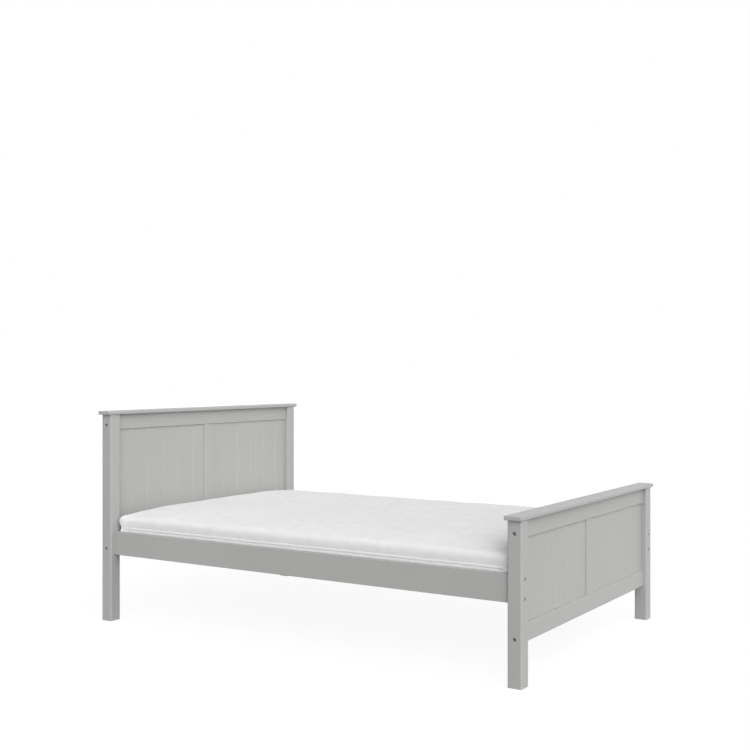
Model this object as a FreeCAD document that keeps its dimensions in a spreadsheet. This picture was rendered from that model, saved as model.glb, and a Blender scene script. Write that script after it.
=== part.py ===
import FreeCAD, Part
import math
import os
import Sketcher

# A small double panel bed in painted wood, with its mattress.
# Millimetres. X runs across the bed, +Y towards the head, +Z up. The origin is on the floor, under
# the middle of the bed. Left is -X as seen from the foot, looking towards the head.

doc = FreeCAD.newDocument("panel_bed")
Vector = FreeCAD.Vector

# ---------------------------------------------------------------- driving dimensions

DRIVING = (
    ("mattress_width", 1200),
    ("mattress_length", 1890),     # sold as 1900, and made a little short
    ("mattress_side", 112),        # height of the mattress's side, up to its shoulder
    ("mattress_crown", 34),        # rise of the middle above the shoulder
    ("mattress_corner", 16),       # corner radius in plan
    ("underside_round", 10),
    ("cover_wall", 4),             # quilted cover round the foam
    ("seam_rise", 62),             # zip seam above the mattress's underside
    ("side_bulge", 7),
    ("end_bulge", 3),
    ("piping_radius", 3),
    ("side_gap", 7.5),             # mattress edge to side rail
    ("end_gap", 5),                # mattress edge to the caps that it lifts past
    ("rest_gap", 0.3),             # a soft or loose piece above what carries it
    ("post_size", 55),
    ("post_round", 6),
    ("head_height", 910),
    ("foot_height", 590),
    ("cap_thickness", 16),
    ("cap_end_overhang", 16),
    ("cap_side_overhang", 6),
    ("cap_round", 4),
    ("end_rail_height", 66),
    ("end_rail_thickness", 22),
    ("end_rail_round", 3),
    ("foot_lower_rail_rise", 147),
    ("stile_width", 66),
    ("panel_thickness", 9),
    ("panel_seat", 8),             # how deep a panel sits in its frame
    ("panel_fit", 0.2),            # play round a panel's edge
    ("joint_pitch", 100),          # from one board joint of a panel to the next
    ("joint_count", 5),
    ("joint_width", 6),
    ("joint_depth", 2.5),
    ("side_rail_height", 100),
    ("side_rail_thickness", 22),
    ("side_rail_rise", 287),
    ("side_rail_round", 2),
    ("bolt_margin", 16.5),         # bed bolts from the side rail's upper and lower edges
    ("cross_bolt_rise", 20),       # cross bolt above an end rail's lower edge
    ("bolt_crossing", 9.5),        # head's lower cross bolt above the bed bolt that it passes
    ("bolt_radius", 3),
    ("bolt_tip", 9),               # bolt beyond the middle of its barrel nut
    ("bolt_head_radius", 5.8),
    ("bolt_head_height", 5),
    ("socket_radius", 2.6),
    ("socket_depth", 3),
    ("bolt_play", 0.4),            # wood round a bolt's shank
    ("bore_end_play", 2),          # bore beyond the bolt's tip
    ("sink_radius", 7),
    ("sink_depth", 14),            # counterbore that takes the bolt's head
    ("nut_radius", 5),
    ("nut_length", 14),
    ("nut_inset", 30),             # barrel nut from the rail's end
    ("thread_play", 0.1),
    ("dowel_radius", 4),
    ("dowel_length", 30),
    ("dowel_drop", 20),            # dowel below an end rail's upper edge
    ("cap_dowel_pitch", 400),
    ("cap_dowel_seat", 10),        # how far a dowel reaches into the cap
    ("dowel_play", 0.1),
    ("ledger_width", 22),
    ("ledger_height", 28),
    ("ledger_lift", 5),            # ledger above the side rail's lower edge
    ("ledger_end_gap", 60),        # ledger to post, which leaves the barrel nuts free
    ("slat_count", 14),
    ("slat_width", 70),
    ("slat_thickness", 18),
    ("slat_round", 3),
    ("slat_side_gap", 1.5),
    ("screw_radius", 2),
    ("screw_head_radius", 4),
    ("screw_head_height", 2.5),
    ("screw_length", 35),
    ("ledger_screw_step", 3),      # slat gaps from one ledger screw to the next
)

sheet = doc.addObject("Spreadsheet::Sheet", "Sizes")
for row, (alias, number) in enumerate(DRIVING, start=1):
    sheet.set(f"A{row}", alias)
    sheet.set(f"B{row}", str(number))
    sheet.setAlias(f"B{row}", alias)
doc.recompute()


def size(alias):
    """A driving dimension as a number, for counts and for the lofted mattress."""
    return float(sheet.get(alias))


# ---------------------------------------------------------------- places worked out from the sizes

HALF_POST = "Sizes.post_size / 2"
POST_X = "(Sizes.mattress_width / 2 + Sizes.side_gap + Sizes.side_rail_thickness / 2)"
POST_Y = ("(Sizes.mattress_length / 2 + Sizes.end_gap + Sizes.cap_side_overhang"
          " + Sizes.post_size / 2)")
INNER_X = f"({POST_X} - {HALF_POST})"
INNER_Y = f"({POST_Y} - {HALF_POST})"
RAIL_INNER_X = f"({POST_X} - Sizes.side_rail_thickness / 2)"

HEAD, FOOT = 1, -1
LEFT, RIGHT = -1, 1
END_NAMES = {HEAD: "head", FOOT: "foot"}
SIDE_NAMES = {LEFT: "left", RIGHT: "right"}
POST_TOP = {end: f"(Sizes.{END_NAMES[end]}_height - Sizes.cap_thickness)" for end in (HEAD, FOOT)}
UPPER_RAIL = {end: f"({POST_TOP[end]} - Sizes.end_rail_height)" for end in (HEAD, FOOT)}
LOWER_RAIL = {
    HEAD: "(Sizes.side_rail_rise + Sizes.bolt_margin + Sizes.bolt_crossing - Sizes.cross_bolt_rise)",
    FOOT: "Sizes.foot_lower_rail_rise",
}
LOWER_RAIL_TOP = {end: f"({LOWER_RAIL[end]} + Sizes.end_rail_height)" for end in (HEAD, FOOT)}
PANEL_HEIGHT = {end: f"({UPPER_RAIL[end]} - {LOWER_RAIL_TOP[end]})" for end in (HEAD, FOOT)}

BOLT_LEVELS = ("Sizes.bolt_margin", "(Sizes.side_rail_height - Sizes.bolt_margin)")
BOLT_BORE = "Sizes.bolt_radius + Sizes.bolt_play"
BOLT_LENGTH = "(Sizes.post_size - Sizes.sink_depth + Sizes.nut_inset + Sizes.bolt_tip)"
BOLT_REACH = "(Sizes.nut_inset + Sizes.bolt_tip + Sizes.bore_end_play)"
DOWEL_RISE = "(Sizes.end_rail_height - Sizes.dowel_drop)"
NUT_BORE = "Sizes.nut_radius + Sizes.thread_play"
DOWEL_BORE = "Sizes.dowel_radius + Sizes.dowel_play"
HALF_DOWEL = "Sizes.dowel_length / 2 + Sizes.dowel_play"

LEDGER_Z = "(Sizes.side_rail_rise + Sizes.ledger_lift)"
SLAT_Z = f"({LEDGER_Z} + Sizes.ledger_height)"
SLAT_TOP = f"({SLAT_Z} + Sizes.slat_thickness)"
LEDGER_X = f"({RAIL_INNER_X} - Sizes.ledger_width / 2)"
LEDGER_LENGTH = f"(2 * ({INNER_Y} - Sizes.ledger_end_gap))"
SLAT_PITCH = f"(({LEDGER_LENGTH} - Sizes.slat_width) / (Sizes.slat_count - 1))"
SLAT_HALF_LENGTH = f"({RAIL_INNER_X} - Sizes.slat_side_gap)"

# ---------------------------------------------------------------- building blocks

nodes = []
TOWARDS = {
    "+X": Vector(1, 0, 0), "-X": Vector(-1, 0, 0),
    "+Y": Vector(0, 1, 0), "-Y": Vector(0, -1, 0),
    "+Z": Vector(0, 0, 1), "-Z": Vector(0, 0, -1),
}


def signed(sign, rule):
    return rule if sign > 0 else f"-({rule})"


def place(item, x="0", y="0", z="0"):
    for axis, rule in (("x", x), ("y", y), ("z", z)):
        item.setExpression("Placement.Base." + axis, rule)


def turn(direction):
    """The rotation that points a shape's own +Z in a direction."""
    return FreeCAD.Rotation(Vector(0, 0, 1), TOWARDS[direction])


def plan_sketch(body, name):
    """An empty sketch on the body's own XY plane."""
    plane = next(f for f in body.Origin.OriginFeatures if f.Role == "XY_Plane")
    sketch = body.newObject("Sketcher::SketchObject", name)
    sketch.AttachmentSupport = [(plane, "")]
    sketch.MapMode = "FlatFace"
    return sketch


def draw_loop(sketch, corners):
    """A closed loop of straight lines through rough corners."""
    count = len(corners)
    for i in range(count):
        sketch.addGeometry(Part.LineSegment(corners[i], corners[(i + 1) % count]), False)
    for i in range(count):
        sketch.addConstraint(Sketcher.Constraint("Coincident", i, 2, (i + 1) % count, 1))


def dimension(sketch, constraint, rule):
    index = sketch.addConstraint(constraint)
    sketch.setExpression(f"Constraints[{index}]", rule)


def board(label, across, along, rise, rounded="", radius="1"):
    """A body whose rectangle is centred on its own origin and padded up by rise.

    The edges that run along the axes named in rounded, such as "XY", are rounded.
    """
    body = doc.addObject("PartDesign::Body", label)
    sketch = plan_sketch(body, label + "_outline")
    draw_loop(sketch, [Vector(-9, -9, 0), Vector(9, -9, 0), Vector(9, 9, 0), Vector(-9, 9, 0)])
    for line, kind in enumerate(("Horizontal", "Vertical", "Horizontal", "Vertical")):
        sketch.addConstraint(Sketcher.Constraint(kind, line))
    sketch.addConstraint(Sketcher.Constraint("Symmetric", 0, 1, 2, 1, -1, 1))
    dimension(sketch, Sketcher.Constraint("DistanceX", 0, 1, 0, 2, 18), across)
    dimension(sketch, Sketcher.Constraint("DistanceY", 1, 1, 1, 2, 18), along)
    pad = body.newObject("PartDesign::Pad", label + "_pad")
    pad.Profile = sketch
    pad.setExpression("Length", rise)
    doc.recompute()
    if rounded:
        fillet = body.newObject("PartDesign::Fillet", label + "_rounding")
        fillet.Base = (pad, edges_along(pad.Shape, rounded))
        fillet.setExpression("Radius", radius)
        doc.recompute()
    nodes.append(body)
    return body


def edges_along(shape, axes):
    """The names of a box's edges that run along the given axes."""
    names = []
    for number, edge in enumerate(shape.Edges, start=1):
        run = edge.tangentAt(edge.FirstParameter)
        for axis in axes:
            if abs(run.dot(TOWARDS["+" + axis])) > 0.99:
                names.append(f"Edge{number}")
    return names


def drill(body, name, radius, depth, direction, x="0", y="0", z="0"):
    """A round hole from a point on the body's face, in a direction."""
    hole = body.newObject("PartDesign::SubtractiveCylinder", name)
    hole.Placement = FreeCAD.Placement(Vector(), turn(direction))
    hole.setExpression("Radius", radius)
    hole.setExpression("Height", depth)
    place(hole, x, y, z)
    return hole


def block(body, kind, name, across, along, rise, x, y, z):
    """A box added to or cut from a body, from its low corner."""
    box = body.newObject("PartDesign::" + kind + "Box", name)
    box.setExpression("Length", across)
    box.setExpression("Width", along)
    box.setExpression("Height", rise)
    place(box, x, y, z)
    return box


def group(label, source, places):
    """Copies of one small part as the separate solids of one node."""
    copies = []
    for number, (rotation, x, y, z) in enumerate(places, start=1):
        copy = doc.addObject("App::Link", f"{label}_{number}")
        copy.LinkedObject = source
        copy.LinkTransform = True
        copy.Placement = FreeCAD.Placement(Vector(), rotation)
        place(copy, x, y, z)
        copies.append(copy)
    bundle = doc.addObject("Part::Compound", label)
    bundle.Links = copies
    nodes.append(bundle)
    return bundle


# ---------------------------------------------------------------- head and foot frames

def add_post(side, end):
    """A corner post, with its bolt holes, dowel holes and the groove for a panel's edge."""
    name = f"{END_NAMES[end]}_post_{SIDE_NAMES[side]}"
    post = board(name, "Sizes.post_size", "Sizes.post_size", POST_TOP[end], "Z", "Sizes.post_round")
    inward_x = "-X" if side == RIGHT else "+X"
    inward_y = "-Y" if end == HEAD else "+Y"
    outward_x = "+X" if side == RIGHT else "-X"
    outward_y = "+Y" if end == HEAD else "-Y"
    outer_x = signed(side, HALF_POST)
    outer_y = signed(end, HALF_POST)
    inner_x = signed(-side, HALF_POST)
    inner_y = signed(-end, HALF_POST)

    for number, level in enumerate(BOLT_LEVELS, start=1):
        z = f"Sizes.side_rail_rise + {level}"
        drill(post, f"{name}_bed_bore_{number}", BOLT_BORE, "Sizes.post_size", inward_y, "0", outer_y, z)
        drill(post, f"{name}_bed_sink_{number}", "Sizes.sink_radius", "Sizes.sink_depth", inward_y,
              "0", outer_y, z)
    for number, rail in enumerate((LOWER_RAIL[end], UPPER_RAIL[end]), start=1):
        z = f"{rail} + Sizes.cross_bolt_rise"
        drill(post, f"{name}_cross_bore_{number}", BOLT_BORE, "Sizes.post_size", inward_x, outer_x, "0", z)
        drill(post, f"{name}_cross_sink_{number}", "Sizes.sink_radius", "Sizes.sink_depth", inward_x,
              outer_x, "0", z)
        drill(post, f"{name}_end_dowel_{number}", DOWEL_BORE, HALF_DOWEL, outward_x, inner_x, "0",
              f"{rail} + {DOWEL_RISE}")
    drill(post, f"{name}_side_dowel", DOWEL_BORE, HALF_DOWEL, outward_y, "0", inner_y,
          "Sizes.side_rail_rise + Sizes.side_rail_height / 2")
    drill(post, f"{name}_cap_dowel", DOWEL_BORE,
          "Sizes.dowel_length - Sizes.cap_dowel_seat + Sizes.dowel_play", "-Z", "0", "0", POST_TOP[end])

    groove_x = f"-({HALF_POST})" if side == RIGHT else f"{HALF_POST} - Sizes.panel_seat"
    block(post, "Subtractive", f"{name}_groove", "Sizes.panel_seat",
          "Sizes.panel_thickness + 2 * Sizes.panel_fit", f"{PANEL_HEIGHT[end]} + 2 * Sizes.panel_seat",
          groove_x, "-Sizes.panel_thickness / 2 - Sizes.panel_fit",
          f"{LOWER_RAIL_TOP[end]} - Sizes.panel_seat")
    place(post, signed(side, POST_X), signed(end, POST_Y))


def add_end_rail(end, level):
    """An upper or lower rail of the head or foot, between its two posts."""
    name = f"{END_NAMES[end]}_{level}_rail"
    upper = level == "upper"
    rise = UPPER_RAIL[end] if upper else LOWER_RAIL[end]
    rail = board(name, f"2 * {INNER_X}", "Sizes.end_rail_thickness", "Sizes.end_rail_height", "X",
                 "Sizes.end_rail_round")
    groove_z = "0" if upper else "Sizes.end_rail_height - Sizes.panel_seat"
    block(rail, "Subtractive", f"{name}_groove", f"2 * {INNER_X}",
          "Sizes.panel_thickness + 2 * Sizes.panel_fit", "Sizes.panel_seat",
          f"-{INNER_X}", "-Sizes.panel_thickness / 2 - Sizes.panel_fit", groove_z)
    for side in (LEFT, RIGHT):
        inward = "-X" if side == RIGHT else "+X"
        hand = SIDE_NAMES[side]
        end_x = signed(side, INNER_X)
        drill(rail, f"{name}_bore_{hand}", BOLT_BORE, BOLT_REACH, inward, end_x, "0",
              "Sizes.cross_bolt_rise")
        drill(rail, f"{name}_nut_hole_{hand}", NUT_BORE,
              "Sizes.end_rail_thickness / 2 + Sizes.nut_length / 2", "-Y",
              signed(side, f"({INNER_X} - Sizes.nut_inset)"), "Sizes.end_rail_thickness / 2",
              "Sizes.cross_bolt_rise")
        drill(rail, f"{name}_dowel_{hand}", DOWEL_BORE, HALF_DOWEL, inward, end_x, "0", DOWEL_RISE)
    if upper:
        for number in (-1, 0, 1):
            drill(rail, f"{name}_cap_dowel_{number + 2}", DOWEL_BORE,
                  "Sizes.dowel_length - Sizes.cap_dowel_seat + Sizes.dowel_play", "-Z",
                  f"{number} * Sizes.cap_dowel_pitch", "0", "Sizes.end_rail_height")
    place(rail, "0", signed(end, POST_Y), rise)


def add_cap(end):
    """The board that closes a frame's top and overhangs it all round."""
    name = f"{END_NAMES[end]}_cap"
    cap = board(name, f"2 * ({POST_X} + {HALF_POST} + Sizes.cap_end_overhang)",
                "Sizes.post_size + 2 * Sizes.cap_side_overhang", "Sizes.cap_thickness", "XYZ",
                "Sizes.cap_round")
    depth = "Sizes.cap_dowel_seat + Sizes.dowel_play"
    for side in (LEFT, RIGHT):
        drill(cap, f"{name}_post_dowel_{SIDE_NAMES[side]}", DOWEL_BORE, depth, "+Z", signed(side, POST_X))
    for number in (-1, 0, 1):
        drill(cap, f"{name}_rail_dowel_{number + 2}", DOWEL_BORE, depth, "+Z",
              f"{number} * Sizes.cap_dowel_pitch")
    place(cap, "0", signed(end, POST_Y), POST_TOP[end])


def add_stile(end):
    """The upright in the middle, with a stub tenon at each end and a groove down each edge."""
    name = f"{END_NAMES[end]}_centre_stile"
    stile = board(name, "Sizes.stile_width", "Sizes.end_rail_thickness", PANEL_HEIGHT[end], "Z",
                  "Sizes.end_rail_round")
    tenon = "Sizes.panel_seat - Sizes.panel_fit"
    low_y = "-Sizes.panel_thickness / 2"
    for number, z in enumerate((f"-({tenon})", PANEL_HEIGHT[end]), start=1):
        block(stile, "Additive", f"{name}_tenon_{number}", "Sizes.stile_width - 2 * Sizes.panel_seat",
              "Sizes.panel_thickness", tenon, "-Sizes.stile_width / 2 + Sizes.panel_seat", low_y, z)
    for side in (LEFT, RIGHT):
        groove_x = "-Sizes.stile_width / 2"
        if side == RIGHT:
            groove_x = "Sizes.stile_width / 2 - Sizes.panel_seat"
        block(stile, "Subtractive", f"{name}_groove_{SIDE_NAMES[side]}", "Sizes.panel_seat",
              "Sizes.panel_thickness + 2 * Sizes.panel_fit", PANEL_HEIGHT[end], groove_x,
              f"{low_y} - Sizes.panel_fit", "0")
    place(stile, "0", signed(end, POST_Y), LOWER_RAIL_TOP[end])


def add_panel(end, side):
    """A panel with V joints down both faces, as if made of narrow boards."""
    name = f"{END_NAMES[end]}_panel_{SIDE_NAMES[side]}"
    half_gap = f"({INNER_X} - Sizes.stile_width / 2) / 2"
    reach = "(Sizes.panel_seat - Sizes.panel_fit)"
    panel = board(name, f"2 * ({half_gap} + {reach})", "Sizes.panel_thickness",
                  f"{PANEL_HEIGHT[end]} + 2 * {reach}")
    first_x = "-Sizes.joint_pitch * (Sizes.joint_count - 1) / 2"
    for face in (-1, 1):
        sketch = plan_sketch(panel, f"{name}_joint_{face + 2}")
        rough = [Vector(-3, 6 * face, 0), Vector(3, 6 * face, 0), Vector(0, 3 * face, 0)]
        draw_loop(sketch, rough)
        surface = signed(face, "Sizes.panel_thickness / 2")
        floor = signed(face, "Sizes.panel_thickness / 2 - Sizes.joint_depth")
        corners = (
            (f"{first_x} - Sizes.joint_width / 2", surface),
            (f"{first_x} + Sizes.joint_width / 2", surface),
            (first_x, floor),
        )
        for line, (x, y) in enumerate(corners):
            dimension(sketch, Sketcher.Constraint("DistanceX", -1, 1, line, 1, rough[line].x), x)
            dimension(sketch, Sketcher.Constraint("DistanceY", -1, 1, line, 1, rough[line].y), y)
        joint = panel.newObject("PartDesign::Pocket", f"{name}_joint_cut_{face + 2}")
        joint.Profile = sketch
        joint.Type = "ThroughAll"
        joint.Reversed = True
        doc.recompute()
        joints = panel.newObject("PartDesign::LinearPattern", f"{name}_joints_{face + 2}")
        joints.Originals = [joint]
        joints.Direction = (sketch, ["H_Axis"])
        joints.setExpression("Length", "Sizes.joint_pitch * (Sizes.joint_count - 1)")
        joints.setExpression("Occurrences", "Sizes.joint_count")
        panel.Tip = joints
        doc.recompute()
    place(panel, signed(side, f"(Sizes.stile_width / 2 + {half_gap})"), signed(end, POST_Y),
          f"{LOWER_RAIL_TOP[end]} - {reach}")


# ---------------------------------------------------------------- side rails and slatted base

def slat_y(index):
    """The middle of a slat, or with a half index of a gap, counted from the foot."""
    return f"(-{LEDGER_LENGTH} / 2 + Sizes.slat_width / 2 + {index} * {SLAT_PITCH})"


slat_indices = range(int(size("slat_count")))
ledger_screw_indices = [i + 0.5 for i in slat_indices[:-1:int(size("ledger_screw_step"))]]


def add_side_rail(side):
    name = f"side_rail_{SIDE_NAMES[side]}"
    rail = board(name, "Sizes.side_rail_thickness", f"2 * {INNER_Y}", "Sizes.side_rail_height", "Y",
                 "Sizes.side_rail_round")
    inner_x = signed(-side, "Sizes.side_rail_thickness / 2")
    outward = "+X" if side == RIGHT else "-X"
    for end in (HEAD, FOOT):
        inward_y = "-Y" if end == HEAD else "+Y"
        tag = END_NAMES[end]
        end_y = signed(end, INNER_Y)
        for number, level in enumerate(BOLT_LEVELS, start=1):
            drill(rail, f"{name}_bore_{tag}_{number}", BOLT_BORE, BOLT_REACH, inward_y, "0", end_y, level)
            drill(rail, f"{name}_nut_hole_{tag}_{number}", NUT_BORE,
                  "Sizes.side_rail_thickness / 2 + Sizes.nut_length / 2", outward, inner_x,
                  signed(end, f"({INNER_Y} - Sizes.nut_inset)"), level)
        drill(rail, f"{name}_dowel_{tag}", DOWEL_BORE, HALF_DOWEL, inward_y, "0", end_y,
              "Sizes.side_rail_height / 2")
    for number, index in enumerate(ledger_screw_indices, start=1):
        drill(rail, f"{name}_screw_{number}", "Sizes.screw_radius + Sizes.thread_play",
              "Sizes.screw_length - Sizes.ledger_width + Sizes.thread_play", outward, inner_x,
              slat_y(index), "Sizes.ledger_lift + Sizes.ledger_height / 2")
    place(rail, signed(side, POST_X), "0", "Sizes.side_rail_rise")


def countersink(body, name, x, y, z, direction):
    """The cone that takes a screw's head."""
    cone = body.newObject("PartDesign::SubtractiveCone", name)
    cone.Placement = FreeCAD.Placement(Vector(), turn(direction))
    cone.setExpression("Radius1", "Sizes.screw_head_radius + Sizes.thread_play")
    cone.setExpression("Radius2", "Sizes.screw_radius + Sizes.thread_play")
    cone.setExpression("Height", "Sizes.screw_head_height")
    place(cone, x, y, z)


def add_ledger(side):
    """The strip on a side rail's inner face that carries the slats' ends."""
    name = f"slat_ledger_{SIDE_NAMES[side]}"
    ledger = board(name, "Sizes.ledger_width", LEDGER_LENGTH, "Sizes.ledger_height", "Y",
                   "Sizes.end_rail_round")
    outward = "+X" if side == RIGHT else "-X"
    inner_x = signed(-side, "Sizes.ledger_width / 2")
    bore = "Sizes.screw_radius + Sizes.thread_play"
    for number, index in enumerate(ledger_screw_indices, start=1):
        middle = "Sizes.ledger_height / 2"
        drill(ledger, f"{name}_screw_{number}", bore, "Sizes.ledger_width", outward, inner_x,
              slat_y(index), middle)
        countersink(ledger, f"{name}_sink_{number}", inner_x, slat_y(index), middle, outward)
    for number, index in enumerate(slat_indices, start=1):
        drill(ledger, f"{name}_slat_screw_{number}", bore,
              "Sizes.screw_length - Sizes.slat_thickness + Sizes.thread_play", "-Z", "0",
              slat_y(index), "Sizes.ledger_height")
    place(ledger, signed(side, LEDGER_X), "0", LEDGER_Z)


def add_slat(index):
    name = f"slat_{index + 1:02d}"
    slat = board(name, f"2 * {SLAT_HALF_LENGTH}", "Sizes.slat_width", "Sizes.slat_thickness", "X",
                 "Sizes.slat_round")
    for side in (LEFT, RIGHT):
        x = signed(side, LEDGER_X)
        drill(slat, f"{name}_screw_{SIDE_NAMES[side]}", "Sizes.screw_radius + Sizes.thread_play",
              "Sizes.slat_thickness", "-Z", x, "0", "Sizes.slat_thickness")
        countersink(slat, f"{name}_sink_{SIDE_NAMES[side]}", x, "0", "Sizes.slat_thickness", "-Z")
    place(slat, "0", slat_y(index), SLAT_Z)


# ---------------------------------------------------------------- fasteners

def cylinder(name, radius, height, z="0"):
    rod = doc.addObject("Part::Cylinder", name)
    rod.setExpression("Radius", radius)
    rod.setExpression("Height", height)
    place(rod, z=z)
    return rod


def make_bolt():
    """A furniture bolt: its own +Z points out of the wood, z = 0 is under the head."""
    head = cylinder("bolt_head", "Sizes.bolt_head_radius", "Sizes.bolt_head_height")
    shank = cylinder("bolt_shank", "Sizes.bolt_radius", BOLT_LENGTH, f"-{BOLT_LENGTH}")
    blank = doc.addObject("Part::Fuse", "bolt_blank")
    blank.Base = head
    blank.Tool = shank
    socket = doc.addObject("Part::Prism", "bolt_socket")
    socket.Polygon = 6
    socket.setExpression("Circumradius", "Sizes.socket_radius")
    socket.setExpression("Height", "Sizes.socket_depth")
    place(socket, z="Sizes.bolt_head_height - Sizes.socket_depth")
    bolt = doc.addObject("Part::Cut", "bolt")
    bolt.Base = blank
    bolt.Tool = socket
    return bolt


def make_barrel_nut():
    """A barrel nut: its axis is its own Z, and the bolt passes through it along X."""
    barrel = cylinder("barrel", "Sizes.nut_radius", "Sizes.nut_length", "-Sizes.nut_length / 2")
    thread = doc.addObject("Part::Cylinder", "barrel_thread")
    thread.setExpression("Radius", "Sizes.bolt_radius + Sizes.thread_play")
    thread.setExpression("Height", "4 * Sizes.nut_radius")
    thread.Placement = FreeCAD.Placement(Vector(), turn("+X"))
    place(thread, x="-2 * Sizes.nut_radius")
    nut = doc.addObject("Part::Cut", "barrel_nut")
    nut.Base = barrel
    nut.Tool = thread
    return nut


def make_screw():
    """A countersunk screw: its own +Z points out of the wood, z = 0 is the head's top."""
    head = doc.addObject("Part::Cone", "screw_head")
    head.setExpression("Radius1", "Sizes.screw_radius")
    head.setExpression("Radius2", "Sizes.screw_head_radius")
    head.setExpression("Height", "Sizes.screw_head_height")
    place(head, z="-Sizes.screw_head_height")
    shank = cylinder("screw_shank", "Sizes.screw_radius", "Sizes.screw_length - Sizes.screw_head_height",
                     "-Sizes.screw_length")
    screw = doc.addObject("Part::Fuse", "screw")
    screw.Base = head
    screw.Tool = shank
    return screw


def add_fasteners():
    bolt = make_bolt()
    nut = make_barrel_nut()
    screw = make_screw()
    dowel = cylinder("dowel", "Sizes.dowel_radius", "Sizes.dowel_length", "-Sizes.dowel_length / 2")
    corners = [(side, end) for side in (LEFT, RIGHT) for end in (FOOT, HEAD)]
    sunk = "(Sizes.post_size / 2 - Sizes.sink_depth)"
    nut_along_x = FreeCAD.Rotation(Vector(1, 1, 1), 120)
    nut_along_y = FreeCAD.Rotation(Vector(1, 0, 0), -90)

    group("bed_bolts", bolt, [
        (turn("+Y" if end == HEAD else "-Y"), signed(side, POST_X), signed(end, f"({POST_Y} + {sunk})"),
         f"Sizes.side_rail_rise + {level}")
        for side, end in corners for level in BOLT_LEVELS])
    group("bed_barrel_nuts", nut, [
        (nut_along_x, signed(side, POST_X), signed(end, f"({INNER_Y} - Sizes.nut_inset)"),
         f"Sizes.side_rail_rise + {level}")
        for side, end in corners for level in BOLT_LEVELS])
    group("cross_bolts", bolt, [
        (turn("+X" if side == RIGHT else "-X"), signed(side, f"({POST_X} + {sunk})"), signed(end, POST_Y),
         f"{rail[end]} + Sizes.cross_bolt_rise")
        for side, end in corners for rail in (LOWER_RAIL, UPPER_RAIL)])
    group("cross_barrel_nuts", nut, [
        (nut_along_y, signed(side, f"({INNER_X} - Sizes.nut_inset)"), signed(end, POST_Y),
         f"{rail[end]} + Sizes.cross_bolt_rise")
        for side, end in corners for rail in (LOWER_RAIL, UPPER_RAIL)])
    group("end_rail_dowels", dowel, [
        (turn("+X"), signed(side, INNER_X), signed(end, POST_Y), f"{rail[end]} + {DOWEL_RISE}")
        for side, end in corners for rail in (LOWER_RAIL, UPPER_RAIL)])
    group("side_rail_dowels", dowel, [
        (turn("+Y"), signed(side, POST_X), signed(end, INNER_Y),
         "Sizes.side_rail_rise + Sizes.side_rail_height / 2")
        for side, end in corners])
    cap_dowel_x = [f"-{POST_X}", "-Sizes.cap_dowel_pitch", "0", "Sizes.cap_dowel_pitch", POST_X]
    group("cap_dowels", dowel, [
        (turn("+Z"), x, signed(end, POST_Y),
         f"{POST_TOP[end]} + Sizes.cap_dowel_seat - Sizes.dowel_length / 2")
        for end in (FOOT, HEAD) for x in cap_dowel_x])
    group("ledger_screws", screw, [
        (turn("-X" if side == RIGHT else "+X"), signed(side, f"({LEDGER_X} - Sizes.ledger_width / 2)"),
         slat_y(index), f"{LEDGER_Z} + Sizes.ledger_height / 2")
        for side in (LEFT, RIGHT) for index in ledger_screw_indices])
    group("slat_screws", screw, [
        (turn("+Z"), signed(side, LEDGER_X), slat_y(index), SLAT_TOP)
        for side in (LEFT, RIGHT) for index in slat_indices])


# ---------------------------------------------------------------- mattress

CROWN_POWER = 4.1            # how quickly the top falls away towards the edge
CROWN_INSETS = (0.01, 0.05, 0.13, 0.25, 0.42, 0.64)   # parts of the half width, edge to middle
END_SHARE = 0.25             # the ends roll over in this part of the sides' distance
CORNER_GROWTH = 0.35         # plan corners open up as the crown rises
BAND_RISE = 0.6              # fullest line below the seam, as a part of the seam's rise
BAND_BULGE = 0.8             # how full it is there, as a part of the side's bulge


def rounded_outline(half_width, half_length, corner, z):
    """A level wire of four lines and four quarter arcs."""
    x, y = half_width - corner, half_length - corner
    edges = []
    for turns, (cx, cy) in enumerate(((x, y), (-x, y), (-x, -y), (x, -y))):
        start = turns * math.pi / 2
        points = [
            Vector(cx + corner * math.cos(start + step), cy + corner * math.sin(start + step), z)
            for step in (0, math.pi / 4, math.pi / 2)]
        edges.append(Part.Arc(*points).toShape())
    wire = []
    for number, arc in enumerate(edges):
        following = edges[(number + 1) % 4]
        wire.append(arc)
        wire.append(Part.makeLine(arc.Vertexes[-1].Point, following.Vertexes[0].Point))
    return Part.Wire(wire)


def mattress_levels():
    """The mattress's form as (height, side inset, end inset) from its underside to its crown."""
    side = size("mattress_side")
    seam = size("seam_rise")
    bulge_x, bulge_y = size("side_bulge"), size("end_bulge")
    draw_in = size("piping_radius")
    edge = size("underside_round")
    levels = [
        (0, edge, edge),
        (edge, 0, 0),
        (BAND_RISE * seam, -BAND_BULGE * bulge_x, -BAND_BULGE * bulge_y),
        (seam, draw_in, draw_in),
        ((seam + side) / 2, -bulge_x, -bulge_y),
        (side - edge, -bulge_x, -bulge_y),
        (side - edge / 2, -bulge_x / 2, -bulge_y / 2),
    ]
    half = size("mattress_width") / 2
    for part in CROWN_INSETS:
        rise = size("mattress_crown") * (1 - (1 - part) ** CROWN_POWER)
        levels.append((side + rise, part * half, END_SHARE * part * half))
    return levels


def mattress_form(skin):
    """The mattress as a loft, drawn in all round by the thickness of a skin."""
    levels = mattress_levels()
    top = levels[-1][0]
    wires = []
    for height, inset_x, inset_y in levels:
        corner = size("mattress_corner") + CORNER_GROWTH * max(inset_x, 0) - skin
        wires.append(rounded_outline(
            size("mattress_width") / 2 - inset_x - skin,
            size("mattress_length") / 2 - inset_y - skin,
            corner,
            skin + height * (top - 2 * skin) / top))
    return Part.makeLoft(wires, True, True)


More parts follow.
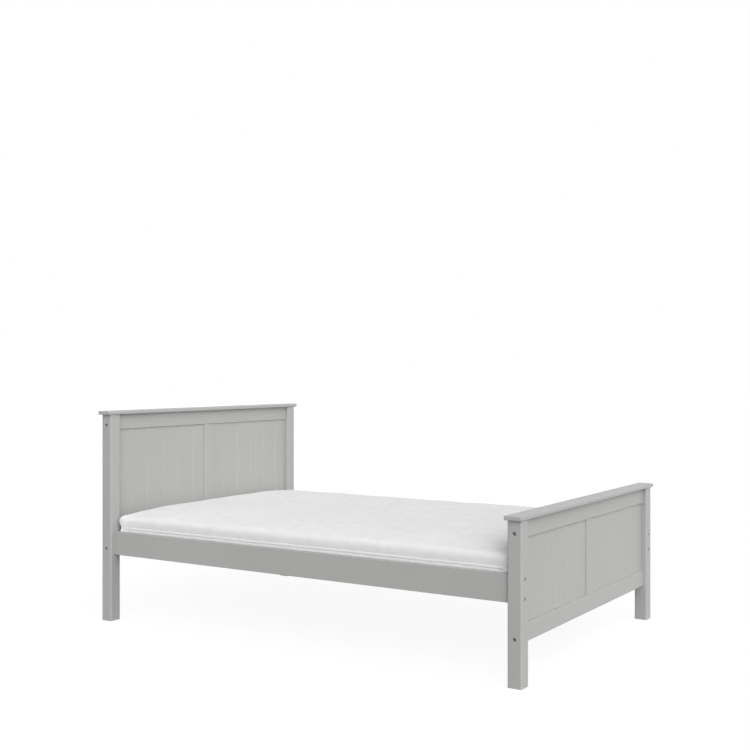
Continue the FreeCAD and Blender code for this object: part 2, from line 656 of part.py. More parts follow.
def piping_form():
    """The zip seam's piping: a round cord in the drawn-in line round the mattress."""
    radius = size("piping_radius")
    reach = size("rest_gap")
    half_width = size("mattress_width") / 2 + reach
    half_length = size("mattress_length") / 2 + reach
    path = rounded_outline(half_width, half_length, size("mattress_corner") + reach, size("seam_rise"))
    start = Vector(half_width, half_length - size("mattress_corner") - reach, size("seam_rise"))
    ring = Part.Wire(Part.makeCircle(radius, start, Vector(0, 1, 0)))
    return path.makePipeShell([ring], True, False)


def add_mattress():
    foam = mattress_form(size("cover_wall"))
    forms = {
        "mattress_foam": foam,
        "mattress_cover": mattress_form(0).cut(foam),
        "mattress_piping": piping_form(),
    }
    for name, form in forms.items():
        item = doc.addObject("Part::Feature", name)
        item.Shape = form
        place(item, z=f"{SLAT_TOP} + Sizes.rest_gap")
        nodes.append(item)


# ---------------------------------------------------------------- the bed

for bed_end in (HEAD, FOOT):
    for bed_side in (LEFT, RIGHT):
        add_post(bed_side, bed_end)
        add_panel(bed_end, bed_side)
    add_end_rail(bed_end, "upper")
    add_end_rail(bed_end, "lower")
    add_stile(bed_end)
    add_cap(bed_end)
for bed_side in (LEFT, RIGHT):
    add_side_rail(bed_side)
    add_ledger(bed_side)
for slat_index in slat_indices:
    add_slat(slat_index)
add_fasteners()
add_mattress()
doc.recompute()

for item in doc.Objects:
    if "Invalid" in item.State or "Error" in item.State:
        raise RuntimeError(f"{item.Label} didn't recompute: {item.State}")
for node in nodes:
    if node.Shape.isNull() or not node.Shape.isValid():
        raise RuntimeError(f"{node.Label} has no valid shape")

os.makedirs("parts", exist_ok=True)
for node in nodes:
    node.Shape.exportStep(f"parts/{node.Label}.step")
print(len(nodes), "nodes,", sum(len(node.Shape.Solids) for node in nodes), "solids")
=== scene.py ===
"""A painted panel bed with a stuffed mattress, in a pale studio.

Everything is in metres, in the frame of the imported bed.
"""

import math

import bpy
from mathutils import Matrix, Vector, noise


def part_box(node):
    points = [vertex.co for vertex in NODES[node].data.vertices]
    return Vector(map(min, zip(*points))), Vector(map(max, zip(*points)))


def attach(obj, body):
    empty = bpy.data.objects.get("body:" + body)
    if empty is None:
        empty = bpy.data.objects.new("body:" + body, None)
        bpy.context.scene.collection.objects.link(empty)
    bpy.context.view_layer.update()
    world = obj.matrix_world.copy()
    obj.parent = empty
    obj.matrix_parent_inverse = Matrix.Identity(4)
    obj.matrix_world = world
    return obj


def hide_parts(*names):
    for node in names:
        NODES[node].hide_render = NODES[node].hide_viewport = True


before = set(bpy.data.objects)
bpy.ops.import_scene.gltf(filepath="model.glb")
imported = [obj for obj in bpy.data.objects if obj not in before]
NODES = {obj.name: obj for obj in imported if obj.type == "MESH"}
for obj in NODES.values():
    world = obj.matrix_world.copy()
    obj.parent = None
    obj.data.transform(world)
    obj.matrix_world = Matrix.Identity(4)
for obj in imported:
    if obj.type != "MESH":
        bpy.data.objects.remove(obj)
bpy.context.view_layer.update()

MM = 0.001

# Finishes, as linear colour.
PAINT_SHADOW = (0.400, 0.400, 0.394, 1.0)
PAINT_LIGHT = (0.425, 0.425, 0.419, 1.0)
PINE_EARLY = (0.72, 0.50, 0.28, 1.0)
PINE_LATE = (0.52, 0.29, 0.12, 1.0)
PINE_KNOT = (0.17, 0.075, 0.03, 1.0)
BEECH_PALE = (0.62, 0.42, 0.27, 1.0)
BEECH_DARK = (0.50, 0.31, 0.18, 1.0)
ZINC_BRIGHT = (0.34, 0.34, 0.35, 1.0)
ZINC_DULL = (0.22, 0.22, 0.23, 1.0)
# The second colour of the cover and of the tape is painted shade: darker in the knit's hollows and between
# the blisters, with a slow random drift mixed in.
COVER_THREAD = (0.89, 0.89, 0.89, 1.0)
COVER_HOLLOW_SHADE = (0.81, 0.81, 0.81, 1.0)
TAPE_THREAD = (0.88, 0.88, 0.875, 1.0)
TAPE_HOLLOW_SHADE = (0.79, 0.79, 0.785, 1.0)

# The grain of a board runs along one of these.
GRAIN_TURN = {"x": (0, 0, 0), "y": (0, 0, math.radians(90)), "z": (0, math.radians(90), 0)}


# ---------------------------------------------------------------- small helpers


def deselect():
    """Object mode with nothing selected, because an operator acts on all that is selected."""
    if bpy.context.object and bpy.context.object.mode != "OBJECT":
        bpy.ops.object.mode_set(mode="OBJECT")
    bpy.ops.object.select_all(action="DESELECT")


def pick(piece):
    deselect()
    piece.select_set(True)
    bpy.context.view_layer.objects.active = piece


def settle(modifier):
    """Applies the active piece's modifier to its mesh."""
    bpy.ops.object.modifier_apply(modifier=modifier.name)


def between(value, low, high):
    """0 at low, 1 at high, smooth in between."""
    t = min(1.0, max(0.0, (value - low) / (high - low)))
    return t * t * (3 - 2 * t)


# ---------------------------------------------------------------- shared effects


class Tree:
    """Short words for building a node tree."""

    def __init__(self, tree):
        self.tree = tree

    def add(self, kind, **settings):
        node = self.tree.nodes.new(kind)
        for key, value in settings.items():
            setattr(node, key, value)
        return node

    def join(self, source, target):
        self.tree.links.new(source, target)

    def fill(self, node, **values):
        """Each value goes to the input of that name: a socket is joined, anything else is set."""
        for name, value in values.items():
            target = node.inputs[name.replace("_", " ")]
            if isinstance(value, bpy.types.NodeSocket):
                self.join(value, target)
            else:
                target.default_value = value
        return node

    def maths(self, operation, first, second=0.0, clamp=False):
        node = self.add("ShaderNodeMath", operation=operation, use_clamp=clamp)
        for slot, value in zip(node.inputs, (first, second)):
            if isinstance(value, bpy.types.NodeSocket):
                self.join(value, slot)
            else:
                slot.default_value = value
        return node.outputs[0]

    def stretch(self, vector, factors):
        node = self.add("ShaderNodeVectorMath", operation="MULTIPLY")
        self.join(vector, node.inputs[0])
        node.inputs[1].default_value = factors
        return node.outputs[0]

    def speckle(self, vector, scale, detail=2.0, roughness=0.5):
        node = self.add("ShaderNodeTexNoise")
        self.fill(node, Vector=vector, Scale=scale, Detail=detail, Roughness=roughness)
        return node.outputs["Fac"]

    def span(self, value, low, high, to_low=0.0, to_high=1.0):
        node = self.add("ShaderNodeMapRange")
        self.fill(node, Value=value)
        for name, number in (("From Min", low), ("From Max", high), ("To Min", to_low), ("To Max", to_high)):
            node.inputs[name].default_value = number
        return node.outputs["Result"]

    def blend(self, factor, first, second):
        node = self.add("ShaderNodeMix", data_type="RGBA")
        for slot, value in zip((node.inputs[0], node.inputs[6], node.inputs[7]), (factor, first, second)):
            if isinstance(value, bpy.types.NodeSocket):
                self.join(value, slot)
            else:
                slot.default_value = value
        return node.outputs[2]


def effect(name, inputs, outputs):
    """A node group with named inputs and outputs, and its tree, its inputs and its outputs."""
    group = bpy.data.node_groups.new(name, "ShaderNodeTree")
    for label, kind, value in inputs:
        socket = group.interface.new_socket(label, in_out="INPUT", socket_type="NodeSocket" + kind)
        if value is not None:
            socket.default_value = value
    for label, kind in outputs:
        group.interface.new_socket(label, in_out="OUTPUT", socket_type="NodeSocket" + kind)
    tree = Tree(group)
    return group, tree, tree.add("NodeGroupInput").outputs, tree.add("NodeGroupOutput").inputs


def make_paint_film():
    """Sprayed satin paint over sanded wood.

    It has faint grain under it along X, a fine orange peel, and a slow drift in shade.
    """
    group, t, given, made = effect(
        "paint_film",
        [("Vector", "Vector", None), ("Grain", "Float", 0.35), ("Peel", "Float", 0.25)],
        [("Shade", "Float"), ("Roughness", "Float"), ("Height", "Float")],
    )
    fibres = t.speckle(t.stretch(given["Vector"], (7.0, 170.0, 170.0)), 1.0, 4.0, 0.6)
    peel = t.speckle(given["Vector"], 620.0, 1.0)
    drift = t.speckle(given["Vector"], 2.6, 2.0)
    shade = t.maths("ADD", t.maths("MULTIPLY", drift, 0.8), t.maths("MULTIPLY", fibres, 0.2))
    t.join(t.span(shade, 0.3, 0.7), made["Shade"])
    t.join(t.span(drift, 0.3, 0.7, 0.40, 0.50), made["Roughness"])
    grain = t.maths("MULTIPLY", fibres, given["Grain"])
    t.join(t.maths("ADD", grain, t.maths("MULTIPLY", peel, given["Peel"])), made["Height"])
    return group


def make_timber_grain():
    """Growth rings along X that flow round knots, and the fine fibres between them."""
    group, t, given, made = effect(
        "timber_grain",
        [
            ("Vector", "Vector", None),
            ("Ring Width", "Float", 0.004),
            ("Wander", "Float", 0.018),
            ("Knots", "Float", 0.25),
        ],
        [("Late Wood", "Float"), ("Fibre", "Float"), ("Knot", "Float"), ("Height", "Float")],
    )
    cells = t.add("ShaderNodeTexVoronoi", feature="F1")
    t.fill(cells, Vector=t.stretch(given["Vector"], (2.4, 9.0, 9.0)), Scale=1.0)
    chosen = t.maths("LESS_THAN", cells.outputs["Color"], given["Knots"])
    near = t.maths("MULTIPLY", t.span(cells.outputs["Distance"], 0.0, 0.35, 1.0, 0.0), chosen)
    knot = t.maths("MULTIPLY", t.span(cells.outputs["Distance"], 0.05, 0.09, 1.0, 0.0), chosen)
    apart = t.add("ShaderNodeSeparateXYZ")
    t.join(given["Vector"], apart.inputs[0])
    wander = t.speckle(t.stretch(given["Vector"], (1.1, 5.0, 5.0)), 1.0, 2.0)
    across = t.maths("ADD", apart.outputs["Y"], t.maths("MULTIPLY", apart.outputs["Z"], 0.7))
    across = t.maths("ADD", across, t.maths("MULTIPLY", wander, given["Wander"]))
    across = t.maths("ADD", across, t.maths("MULTIPLY", near, 0.016))
    turns = t.maths("FRACT", t.maths("DIVIDE", across, given["Ring Width"]))
    late = t.maths("POWER", turns, 2.4)
    fibre = t.speckle(t.stretch(given["Vector"], (12.0, 700.0, 700.0)), 1.0, 3.0, 0.65)
    t.join(late, made["Late Wood"])
    t.join(fibre, made["Fibre"])
    t.join(knot, made["Knot"])
    t.join(t.maths("ADD", t.maths("MULTIPLY", late, 0.5), fibre), made["Height"])
    return group


def make_cloth_weave():
    """Fine knitted rows with soft raised blisters between them, on the cloth's own map in metres."""
    group, t, given, made = effect(
        "cloth_weave",
        [
            ("Vector", "Vector", None),
            ("Rows", "Float", 700.0),
            ("Blister", "Float", 30.0),
            ("Relief", "Float", 0.7),
        ],
        [("Tone", "Float"), ("Roughness", "Float"), ("Height", "Float")],
    )
    rows, loops = (t.add("ShaderNodeTexWave", wave_type="BANDS", bands_direction=way) for way in "XY")
    for wave in (rows, loops):
        t.fill(wave, Vector=given["Vector"], Scale=given["Rows"], Distortion=1.5, Detail=1.0)
    knit = t.maths("MULTIPLY", rows.outputs["Fac"], loops.outputs["Fac"])
    blister = t.add("ShaderNodeTexVoronoi", feature="SMOOTH_F1")
    t.fill(blister, Vector=given["Vector"], Scale=given["Blister"], Smoothness=0.6)
    swell = t.span(blister.outputs["Distance"], 0.0, 0.75, 1.0, 0.0)
    drift = t.speckle(given["Vector"], 6.0, 3.0)
    # Painted shade: darker between the knit's rows and between the raised blisters, where shade falls; the
    # drift below adds random change in colour.
    knit_and_blister_shade = t.maths("ADD", t.maths("MULTIPLY", knit, 0.35), t.maths("MULTIPLY", swell, 0.35))
    t.join(t.span(t.maths("ADD", knit_and_blister_shade, t.maths("MULTIPLY", drift, 0.3)), 0.1, 0.7), made["Tone"])
    t.join(t.span(swell, 0.0, 1.0, 0.95, 0.82), made["Roughness"])
    height = t.maths("ADD", t.maths("MULTIPLY", swell, given["Relief"]), t.maths("MULTIPLY", knit, 0.12))
    t.join(height, made["Height"])
    return group


def make_plated_metal():
    """Zinc plating: a frosted mottle and short drawn lines along X."""
    group, t, given, made = effect(
        "plated_metal",
        [("Vector", "Vector", None), ("Mottle", "Float", 220.0)],
        [("Tone", "Float"), ("Roughness", "Float"), ("Height", "Float")],
    )
    mottle = t.speckle(given["Vector"], given["Mottle"], 3.0)
    lines = t.speckle(t.stretch(given["Vector"], (60.0, 2600.0, 2600.0)), 1.0, 2.0)
    t.join(t.span(mottle, 0.35, 0.65), made["Tone"])
    t.join(t.span(mottle, 0.3, 0.7, 0.42, 0.58), made["Roughness"])
    t.join(lines, made["Height"])
    return group


PAINT_FILM = make_paint_film()
TIMBER_GRAIN = make_timber_grain()
CLOTH_WEAVE = make_cloth_weave()
PLATED_METAL = make_plated_metal()


# ---------------------------------------------------------------- materials


def finish_of(name, group, coordinates, turn=(0, 0, 0), shift=(0, 0, 0), **settings):
    """A material with its shader, and the group placed on turned coordinates with its own values."""
    material = bpy.data.materials.new(name)
    material.use_nodes = True
    t = Tree(material.node_tree)
    shader = material.node_tree.nodes["Principled BSDF"]
    where = t.add("ShaderNodeTexCoord")
    mapping = t.add("ShaderNodeMapping")
    t.join(where.outputs[coordinates], mapping.inputs["Vector"])
    mapping.inputs["Rotation"].default_value = turn
    mapping.inputs["Location"].default_value = shift
    placed = t.add("ShaderNodeGroup", node_tree=group)
    t.join(mapping.outputs["Vector"], placed.inputs["Vector"])
    t.fill(placed, **settings)
    return material, t, shader, placed.outputs


def roughen(t, shader, height, strength, distance):
    bump = t.add("ShaderNodeBump")
    t.fill(bump, Height=height, Strength=strength, Distance=distance)
    t.join(bump.outputs["Normal"], shader.inputs["Normal"])


def painted_wood(grain):
    material, t, shader, film = finish_of("painted_wood_" + grain, PAINT_FILM, "Object", GRAIN_TURN[grain])
    t.fill(shader, Base_Color=t.blend(film["Shade"], PAINT_SHADOW, PAINT_LIGHT), Roughness=film["Roughness"])
    t.fill(shader, Specular_IOR_Level=0.5)
    roughen(t, shader, film["Height"], 0.13, 0.0004)
    return material


def bare_wood(name, grain, pale, dark, shift=(0, 0, 0), **settings):
    material, t, shader, wood = finish_of(name, TIMBER_GRAIN, "Object", GRAIN_TURN[grain], shift, **settings)
    rings = t.blend(wood["Late Wood"], pale, dark)
    fibres = t.blend(t.span(wood["Fibre"], 0.35, 0.65, 0.0, 0.22), rings, dark)
    t.fill(shader, Base_Color=t.blend(wood["Knot"], fibres, PINE_KNOT))
    t.fill(shader, Roughness=t.span(wood["Late Wood"], 0.0, 1.0, 0.62, 0.48))
    roughen(t, shader, wood["Height"], 0.35, 0.0004)
    return material


def zinc_steel():
    material, t, shader, metal = finish_of("zinc_steel", PLATED_METAL, "Object")
    t.fill(shader, Base_Color=t.blend(metal["Tone"], ZINC_DULL, ZINC_BRIGHT), Roughness=metal["Roughness"])
    t.fill(shader, Metallic=1.0)
    roughen(t, shader, metal["Height"], 0.15, 0.0001)
    return material


def woven_cloth(name, thread, hollow_shade, coordinates, strength, **settings):
    material, t, shader, cloth = finish_of(name, CLOTH_WEAVE, coordinates, **settings)
    # The darker colour is painted shade, laid where the weave is low between its rows and blisters.
    t.fill(shader, Base_Color=t.blend(cloth["Tone"], hollow_shade, thread), Roughness=cloth["Roughness"])
    t.fill(shader, Specular_IOR_Level=0.10, Sheen_Weight=0.04, Sheen_Roughness=0.6)
    roughen(t, shader, cloth["Height"], strength, 0.001)
    return material


def dress(material, *names):
    for name in names:
        for slot in NODES[name].material_slots:
            slot.material = material


PAINT = {grain: painted_wood(grain) for grain in "xyz"}
ZINC = zinc_steel()
BEECH = bare_wood("beech_dowel", "x", BEECH_PALE, BEECH_DARK, Ring_Width=0.0011, Wander=0.004, Knots=0.0)
PINE_LEDGER = bare_wood("pine_ledger", "y", PINE_EARLY, PINE_LATE, Ring_Width=0.0042, Knots=0.12)
PINE_SLAT = [
    bare_wood("pine_slat_" + kind, "x", PINE_EARLY, PINE_LATE, shift, Ring_Width=width, Knots=knots)
    for kind, shift, width, knots in (
        ("plain", (0.0, 0.0, 0.0), 0.0038, 0.10),
        ("knotty", (0.31, 0.013, 0.07), 0.0050, 0.32),
        ("close", (0.77, 0.027, 0.16), 0.0027, 0.18),
    )
]
COVER = woven_cloth("mattress_cover", COVER_THREAD, COVER_HOLLOW_SHADE, "UV", 0.35)
TAPE = woven_cloth("zip_tape", TAPE_THREAD, TAPE_HOLLOW_SHADE, "Object", 0.5, Rows=520.0, Blister=260.0, Relief=0.3)


def dress_frame():
    """Every node that is carried over gets its finish, with the grain along the board."""
    for end in ("head", "foot"):
        dress(PAINT["x"], end + "_cap", end + "_upper_rail", end + "_lower_rail")
        dress(PAINT["z"], end + "_post_left", end + "_post_right", end + "_centre_stile")
        dress(PAINT["z"], end + "_panel_left", end + "_panel_right")
    dress(PAINT["y"], "side_rail_left", "side_rail_right")
    dress(PINE_LEDGER, "slat_ledger_left", "slat_ledger_right")
    slats = sorted(name for name in NODES if name.startswith("slat_") and name[-1].isdigit())
    for place, name in enumerate(slats):
        dress(PINE_SLAT[(place * 2 + place // 3) % len(PINE_SLAT)], name)
    dress(BEECH, "cap_dowels", "end_rail_dowels", "side_rail_dowels")
    dress(ZINC, "bed_bolts", "bed_barrel_nuts", "cross_bolts", "cross_barrel_nuts")
    dress(ZINC, "ledger_screws", "slat_screws")


# ---------------------------------------------------------------- studio


FLOOR_SIZE = 80.0
FLOOR_MATT = (0.50, 0.50, 0.50, 1.0)    # what the floor throws back on the bed
FLOOR_SEEN = (0.12, 0.12, 0.12, 1.0)    # what of it the camera sees, enough to keep the shadow
FLOOR_GLOW = 0.92
SKY_LIGHT = 0.31
BACKDROP = 1.0

# Where each lamp stands, in degrees round from +X and above the floor, its strength and its angular width.
LAMPS = {
    "left": (210, 40, 0.99, 40),
    "front": (270, 40, 1.28, 75),
    "low": (225, 15, 0.95, 40),
    "back": (40, 45, 0.17, 50),
}

CAMERA_PLACE = (-4.0304, -2.6554, 1.0826)
CAMERA_HEADING = -58.35    # degrees from +Y
CAMERA_LENS = 52.956       # millimetres, on a sensor as wide as SENSOR_WIDTH
SENSOR_WIDTH = 36.0
CAMERA_SHIFT = (-0.04767, -0.00501)


def seen_directly(t):
    """1 for what the camera, a reflection or a clear material looks at, 0 for what only lights."""
    path = t.add("ShaderNodeLightPath").outputs
    mirrored = t.maths("MAXIMUM", path["Is Glossy Ray"], path["Is Transmission Ray"])
    return t.maths("MAXIMUM", path["Is Camera Ray"], mirrored)


def lit_and_seen(t, lighting, showing, output):
    """Joins one shader for what lights the bed and one for what is looked at to the output."""
    mix = t.add("ShaderNodeMixShader")
    for slot, source in zip(mix.inputs, (seen_directly(t), lighting, showing)):
        t.join(source, slot)
    t.join(mix.outputs[0], t.add(output).inputs[0])


def studio_floor():
    """A white floor that shows as plain white and keeps the bed's soft shadow."""
    bpy.ops.mesh.primitive_plane_add(size=FLOOR_SIZE, location=(0, 0, 0))
    floor = bpy.context.object
    floor.name = "studio_floor"
    material = bpy.data.materials.new("studio_floor")
    material.use_nodes = True
    material.node_tree.nodes.clear()
    t = Tree(material.node_tree)
    matt = t.fill(t.add("ShaderNodeBsdfDiffuse"), Color=FLOOR_MATT)
    shown = t.fill(t.add("ShaderNodeBsdfDiffuse"), Color=FLOOR_SEEN)
    glow = t.fill(t.add("ShaderNodeEmission"), Strength=FLOOR_GLOW)
    both = t.add("ShaderNodeAddShader")
    t.join(shown.outputs[0], both.inputs[0])
    t.join(glow.outputs[0], both.inputs[1])
    lit_and_seen(t, matt.outputs[0], both.outputs[0], "ShaderNodeOutputMaterial")
    floor.data.materials.append(material)


def studio_light():
    """Large lamps at the left and at the foot, a low one between, a weak one behind, and an even sky."""
    world = bpy.data.worlds.new("studio")
    bpy.context.scene.world = world
    world.use_nodes = True
    world.node_tree.nodes.clear()
    t = Tree(world.node_tree)
    white = (1, 1, 1, 1)
    sky = t.fill(t.add("ShaderNodeBackground"), Color=white, Strength=SKY_LIGHT)
    backdrop = t.fill(t.add("ShaderNodeBackground"), Color=white, Strength=BACKDROP)
    lit_and_seen(t, sky.outputs[0], backdrop.outputs[0], "ShaderNodeOutputWorld")
    for name, (around, above, strength, width) in LAMPS.items():
        lamp = bpy.data.lights.new(name, "SUN")
        lamp.energy = strength
        lamp.angle = math.radians(width)
        holder = bpy.data.objects.new(name, lamp)
        around, above = math.radians(around), math.radians(above)
        flat = math.cos(above)
        source = Vector((math.cos(around) * flat, math.sin(around) * flat, math.sin(above)))
        holder.rotation_euler = (-source).to_track_quat("-Z", "Y").to_euler()
        bpy.context.scene.collection.objects.link(holder)


def studio_camera():
    """At the photograph's place: level, looking along the bed from its left side."""
    lens = bpy.data.cameras.new("camera")
    lens.sensor_width = SENSOR_WIDTH
    lens.lens = CAMERA_LENS
    lens.shift_x, lens.shift_y = CAMERA_SHIFT
    camera = bpy.data.objects.new("camera", lens)
    camera.location = CAMERA_PLACE
    camera.rotation_euler = (math.radians(90), 0, math.radians(CAMERA_HEADING))
    bpy.context.scene.collection.objects.link(camera)
    bpy.context.scene.camera = camera
    bpy.context.scene.view_settings.view_transform = "Standard"


# ---------------------------------------------------------------- mattress

COVER_LOW, COVER_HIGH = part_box("mattress_cover")
COVER_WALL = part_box("mattress_foam")[0].z - COVER_LOW.z
PIPING_LOW, PIPING_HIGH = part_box("mattress_piping")
SEAM_HEIGHT = (PIPING_LOW.z + PIPING_HIGH.z) / 2
SEAM_WANDER = 1.3 * MM
SEAM_ROWS = (-9, -7.5, -6, -5, -4, -3, 0, 3, 4, 5, 6, 7.5, 9)    # edges cut beside the seam, in millimetres

VOXEL = 12 * MM
MERGE = 0.01 * MM
SWELL_CAP = 3 * MM               # the stuffing moves no point further than this
STUFFING_FRAMES = 20
STUFFING_PRESSURE = 4.0
HELD_LOW, HELD_HIGH = 6 * MM, 30 * MM    # held fast below the first height, free above the second

WAVE = 2.6 * MM                  # slow waves along the top
WAVE_EDGE = 25 * MM              # which fade out this near the edge
BLISTER = 0.8 * MM               # height of the soft blisters on top
CREASE = 1.2 * MM                # and of the creases beside the seam
CREASE_REACH = 35 * MM
CORNER_REACH = 60 * MM           # the stuffing fills the cover's corners out over this distance
CORNER_FILL = 7 * MM
SIDE_FILL = 4.5 * MM             # and its long sides, over this height to either side of the seam
SIDE_FILL_REACH = 18 * MM

TAPE_HALF = 4.2 * MM             # half the height of the zip's tape
TAPE_CORNER = 19 * MM
TAPE_STRAIGHT = 0.5              # a straight side is longer than this, a corner's edges are shorter
TAPE_CUTS = 150                  # along each straight side
TAPE_THICKNESS = 1.5 * MM
TAPE_GAP = 0.2 * MM
TAPE_ROUND = 0.4 * MM
STITCH_DEPTH = 1.1 * MM          # how far the stitches beside the tape draw the cover in
STITCH_REACH = 1.5 * MM


def points_and_normals(piece):
    """All points and normals, read at once: a normal that is read after a point moved is worked out again."""
    return [v.co.copy() for v in piece.data.vertices], [v.normal.copy() for v in piece.data.vertices]


def put_points(piece, points):
    piece.data.vertices.foreach_set("co", [number for point in points for number in point])
    piece.data.update()


def cover_blank():
    """The foam's own form with the cover's wall laid over it, joined up and remeshed evenly."""
    blank = bpy.data.objects.new("mattress", NODES["mattress_foam"].data.copy())
    bpy.context.scene.collection.objects.link(blank)
    pick(blank)
    bpy.ops.object.mode_set(mode="EDIT")
    bpy.ops.mesh.select_all(action="SELECT")
    bpy.ops.mesh.remove_doubles(threshold=MERGE)
    bpy.ops.object.mode_set(mode="OBJECT")
    points, normals = points_and_normals(blank)
    put_points(blank, [p + n * COVER_WALL for p, n in zip(points, normals)])
    blank.data.remesh_voxel_size = VOXEL
    bpy.ops.object.voxel_remesh()
    return blank


def stuff(cover):
    """Blows the cover up a little from inside, so that its sides and edges swell as a filled cover's do."""
    rest = [v.co.copy() for v in cover.data.vertices]
    held = cover.vertex_groups.new(name="held")
    for v in cover.data.vertices:
        grip = 1 - between(v.co.z, COVER_LOW.z + HELD_LOW, COVER_LOW.z + HELD_HIGH)
        held.add([v.index], grip, "REPLACE")
    stuffing = cover.modifiers.new("stuffing", "CLOTH")
    stuffing.settings.quality = 4
    stuffing.settings.use_pressure = True
    stuffing.settings.uniform_pressure_force = STUFFING_PRESSURE
    stuffing.settings.effector_weights.gravity = 0.0
    stuffing.settings.vertex_group_mass = "held"
    stuffing.settings.shrink_min = -0.01
    stuffing.point_cache.frame_start = 1
    stuffing.point_cache.frame_end = STUFFING_FRAMES
    scene = bpy.context.scene
    for step in range(1, STUFFING_FRAMES + 1):
        scene.frame_set(step)
    settle(stuffing)
    scene.frame_set(1)
    cover.vertex_groups.clear()
    points, _ = points_and_normals(cover)
    for p, start in zip(points, rest):
        moved = p - start
        p.xyz = start + moved * (SWELL_CAP / (SWELL_CAP + moved.length))
    put_points(cover, points)


def fill_out(p, n):
    """How far the stuffing fills a point out along X and Y, at the corners and the long sides."""
    x_reach = between(abs(p.x), COVER_HIGH.x - CORNER_REACH, COVER_HIGH.x)
    y_reach = between(abs(p.y), COVER_HIGH.y - CORNER_REACH, COVER_HIGH.y)
    corner = CORNER_FILL * x_reach * y_reach
    rise = (p.z - SEAM_HEIGHT) / SIDE_FILL_REACH
    side = n.x * SIDE_FILL * math.exp(-rise * rise)
    return math.copysign(corner, p.x) + side, math.copysign(corner, p.y)


def relax(cover):
    """Slow waves along the top, creases that rise from the seam, blisters, and filled corners and sides."""
    points, normals = points_and_normals(cover)
    for p, n in zip(points, normals):
        top = between(n.z, 0.2, 0.9)
        side = 1 - abs(n.z)
        slow = noise.noise(p * 3.1) + noise.noise(p * 8.3 + Vector((5, 2, 1)))
        blister = noise.noise(p * 34) * 0.55 + noise.noise(p * 21 + Vector((3, 7, 2))) * 0.45
        crease = noise.noise(Vector((p.x * 24, p.y * 24, p.z * 3)))
        fade = math.exp(-abs(p.z - SEAM_HEIGHT) / CREASE_REACH)
        edge = min(COVER_HIGH.x - abs(p.x), COVER_HIGH.y - abs(p.y))
        p += n * (top * blister * BLISTER + side * crease * fade * CREASE)
        out_x, out_y = fill_out(p, n)
        p.x += out_x
        p.y += out_y
        p.z += top * slow * WAVE * between(edge, 0, WAVE_EDGE)
    put_points(cover, points)


def seam_line(p):
    """The seam's height beside a point: it wanders a little, as a sewn zip does."""
    return SEAM_HEIGHT + SEAM_WANDER * noise.noise(Vector((p.x * 9, p.y * 9, 0)))


def sew_seam(cover):
    """Cuts rows of edges round the sides, and draws in the two rows of stitches beside the zip's tape."""
    pick(cover)
    bpy.ops.object.mode_set(mode="EDIT")
    for row in SEAM_ROWS:
        bpy.ops.mesh.select_all(action="SELECT")
        bpy.ops.mesh.bisect(plane_co=(0, 0, SEAM_HEIGHT + row * MM), plane_no=(0, 0, 1))
    bpy.ops.object.mode_set(mode="OBJECT")
    points, normals = points_and_normals(cover)
    for p, n in zip(points, normals):
        off = (abs(p.z - seam_line(p)) - TAPE_HALF - STITCH_REACH) / STITCH_REACH
        p -= n * (1 - abs(n.z)) * STITCH_DEPTH * math.exp(-off * off)
    put_points(cover, points)


def fit_between_rails(cover):
    """Nothing passes the room that the bed leaves, and the underside lies flat on the slats."""
    points, _ = points_and_normals(cover)
    for p in points:
        p.x = min(COVER_HIGH.x, max(COVER_LOW.x, p.x))
        p.y = min(COVER_HIGH.y, max(COVER_LOW.y, p.y))
        p.z = max(COVER_LOW.z, p.z)
    put_points(cover, points)


def make_mattress():
    cover = cover_blank()
    stuff(cover)
    subdivision = cover.modifiers.new("soften", "SUBSURF")
    subdivision.levels = subdivision.render_levels = 1
    pick(cover)
    settle(subdivision)
    relax(cover)
    sew_seam(cover)
    fit_between_rails(cover)
    pick(cover)
    bpy.ops.object.shade_smooth()
    bpy.ops.object.mode_set(mode="EDIT")
    bpy.ops.mesh.select_all(action="SELECT")
    bpy.ops.uv.cube_project(cube_size=1.0)
    bpy.ops.object.mode_set(mode="OBJECT")
    cover.data.materials.clear()
    cover.data.materials.append(COVER)
    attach(cover, "mattress")
    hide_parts("mattress_cover", "mattress_foam")
    return cover


def edge_length(piece, edge):
    first, second = (piece.data.vertices[i].co for i in edge.vertices)
    return (first - second).length


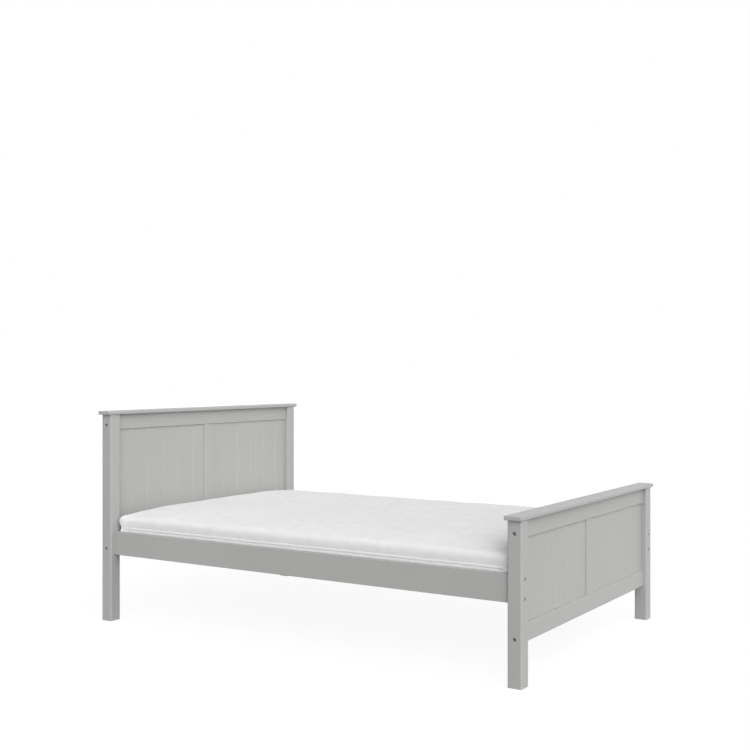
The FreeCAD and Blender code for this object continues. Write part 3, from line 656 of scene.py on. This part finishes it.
def lay_ring():
    """One closed line round the mattress at the tape's lower edge, with round corners and cut straights."""
    bpy.ops.mesh.primitive_plane_add(size=1.0, location=(0, 0, SEAM_HEIGHT - TAPE_HALF))
    tape = bpy.context.object
    tape.name = "mattress_zip_tape"
    bpy.ops.object.mode_set(mode="EDIT")
    bpy.ops.mesh.select_all(action="SELECT")
    bpy.ops.transform.resize(value=(PIPING_HIGH.x - PIPING_LOW.x, PIPING_HIGH.y - PIPING_LOW.y, 1.0))
    bpy.ops.mesh.bevel(offset=TAPE_CORNER, segments=8, affect="VERTICES")
    bpy.ops.mesh.delete(type="ONLY_FACE")
    bpy.ops.object.mode_set(mode="OBJECT")
    bpy.ops.object.transform_apply(location=True, rotation=True, scale=True)
    for edge in tape.data.edges:
        edge.select = edge_length(tape, edge) > TAPE_STRAIGHT
    bpy.ops.object.mode_set(mode="EDIT")
    bpy.ops.mesh.subdivide(number_cuts=TAPE_CUTS)
    return tape


def raise_band(tape):
    """Draws the ring's top line up twice by half the tape's height, then lets it follow the seam's wander."""
    for _ in range(2):
        bpy.ops.mesh.select_all(action="DESELECT")
        bpy.ops.object.mode_set(mode="OBJECT")
        top = max(v.co.z for v in tape.data.vertices)
        for v in tape.data.vertices:
            v.select = v.co.z > top - TAPE_HALF / 2
        for edge in tape.data.edges:
            edge.select = all(tape.data.vertices[i].select for i in edge.vertices)
        bpy.ops.object.mode_set(mode="EDIT")
        bpy.ops.mesh.extrude_edges_move(TRANSFORM_OT_translate={"value": (0, 0, TAPE_HALF)})
    bpy.ops.object.mode_set(mode="OBJECT")
    for v in tape.data.vertices:
        v.co.z += seam_line(v.co) - SEAM_HEIGHT


def make_zip_tape(cover):
    """The zip's tape: a flat band laid round the cover's seam, then given its thickness and rounded edges."""
    tape = lay_ring()
    raise_band(tape)
    hug = tape.modifiers.new("hug", "SHRINKWRAP")
    hug.target = cover
    hug.wrap_method = "NEAREST_SURFACEPOINT"
    hug.offset = TAPE_THICKNESS / 2 + TAPE_GAP
    body = tape.modifiers.new("body", "SOLIDIFY")
    body.thickness = TAPE_THICKNESS
    body.offset = 0.0
    rounding = tape.modifiers.new("rounding", "BEVEL")
    rounding.width = TAPE_ROUND
    rounding.segments = 2
    pick(tape)
    for modifier in (hug, body, rounding):
        settle(modifier)
    bpy.ops.object.mode_set(mode="EDIT")
    bpy.ops.mesh.select_all(action="SELECT")
    bpy.ops.mesh.normals_make_consistent(inside=False)
    bpy.ops.object.mode_set(mode="OBJECT")
    bpy.ops.object.shade_smooth()
    tape.data.materials.clear()
    tape.data.materials.append(TAPE)
    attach(tape, "mattress")
    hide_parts("mattress_piping")


studio_camera()
studio_light()
studio_floor()
dress_frame()
make_zip_tape(make_mattress())
deselect()
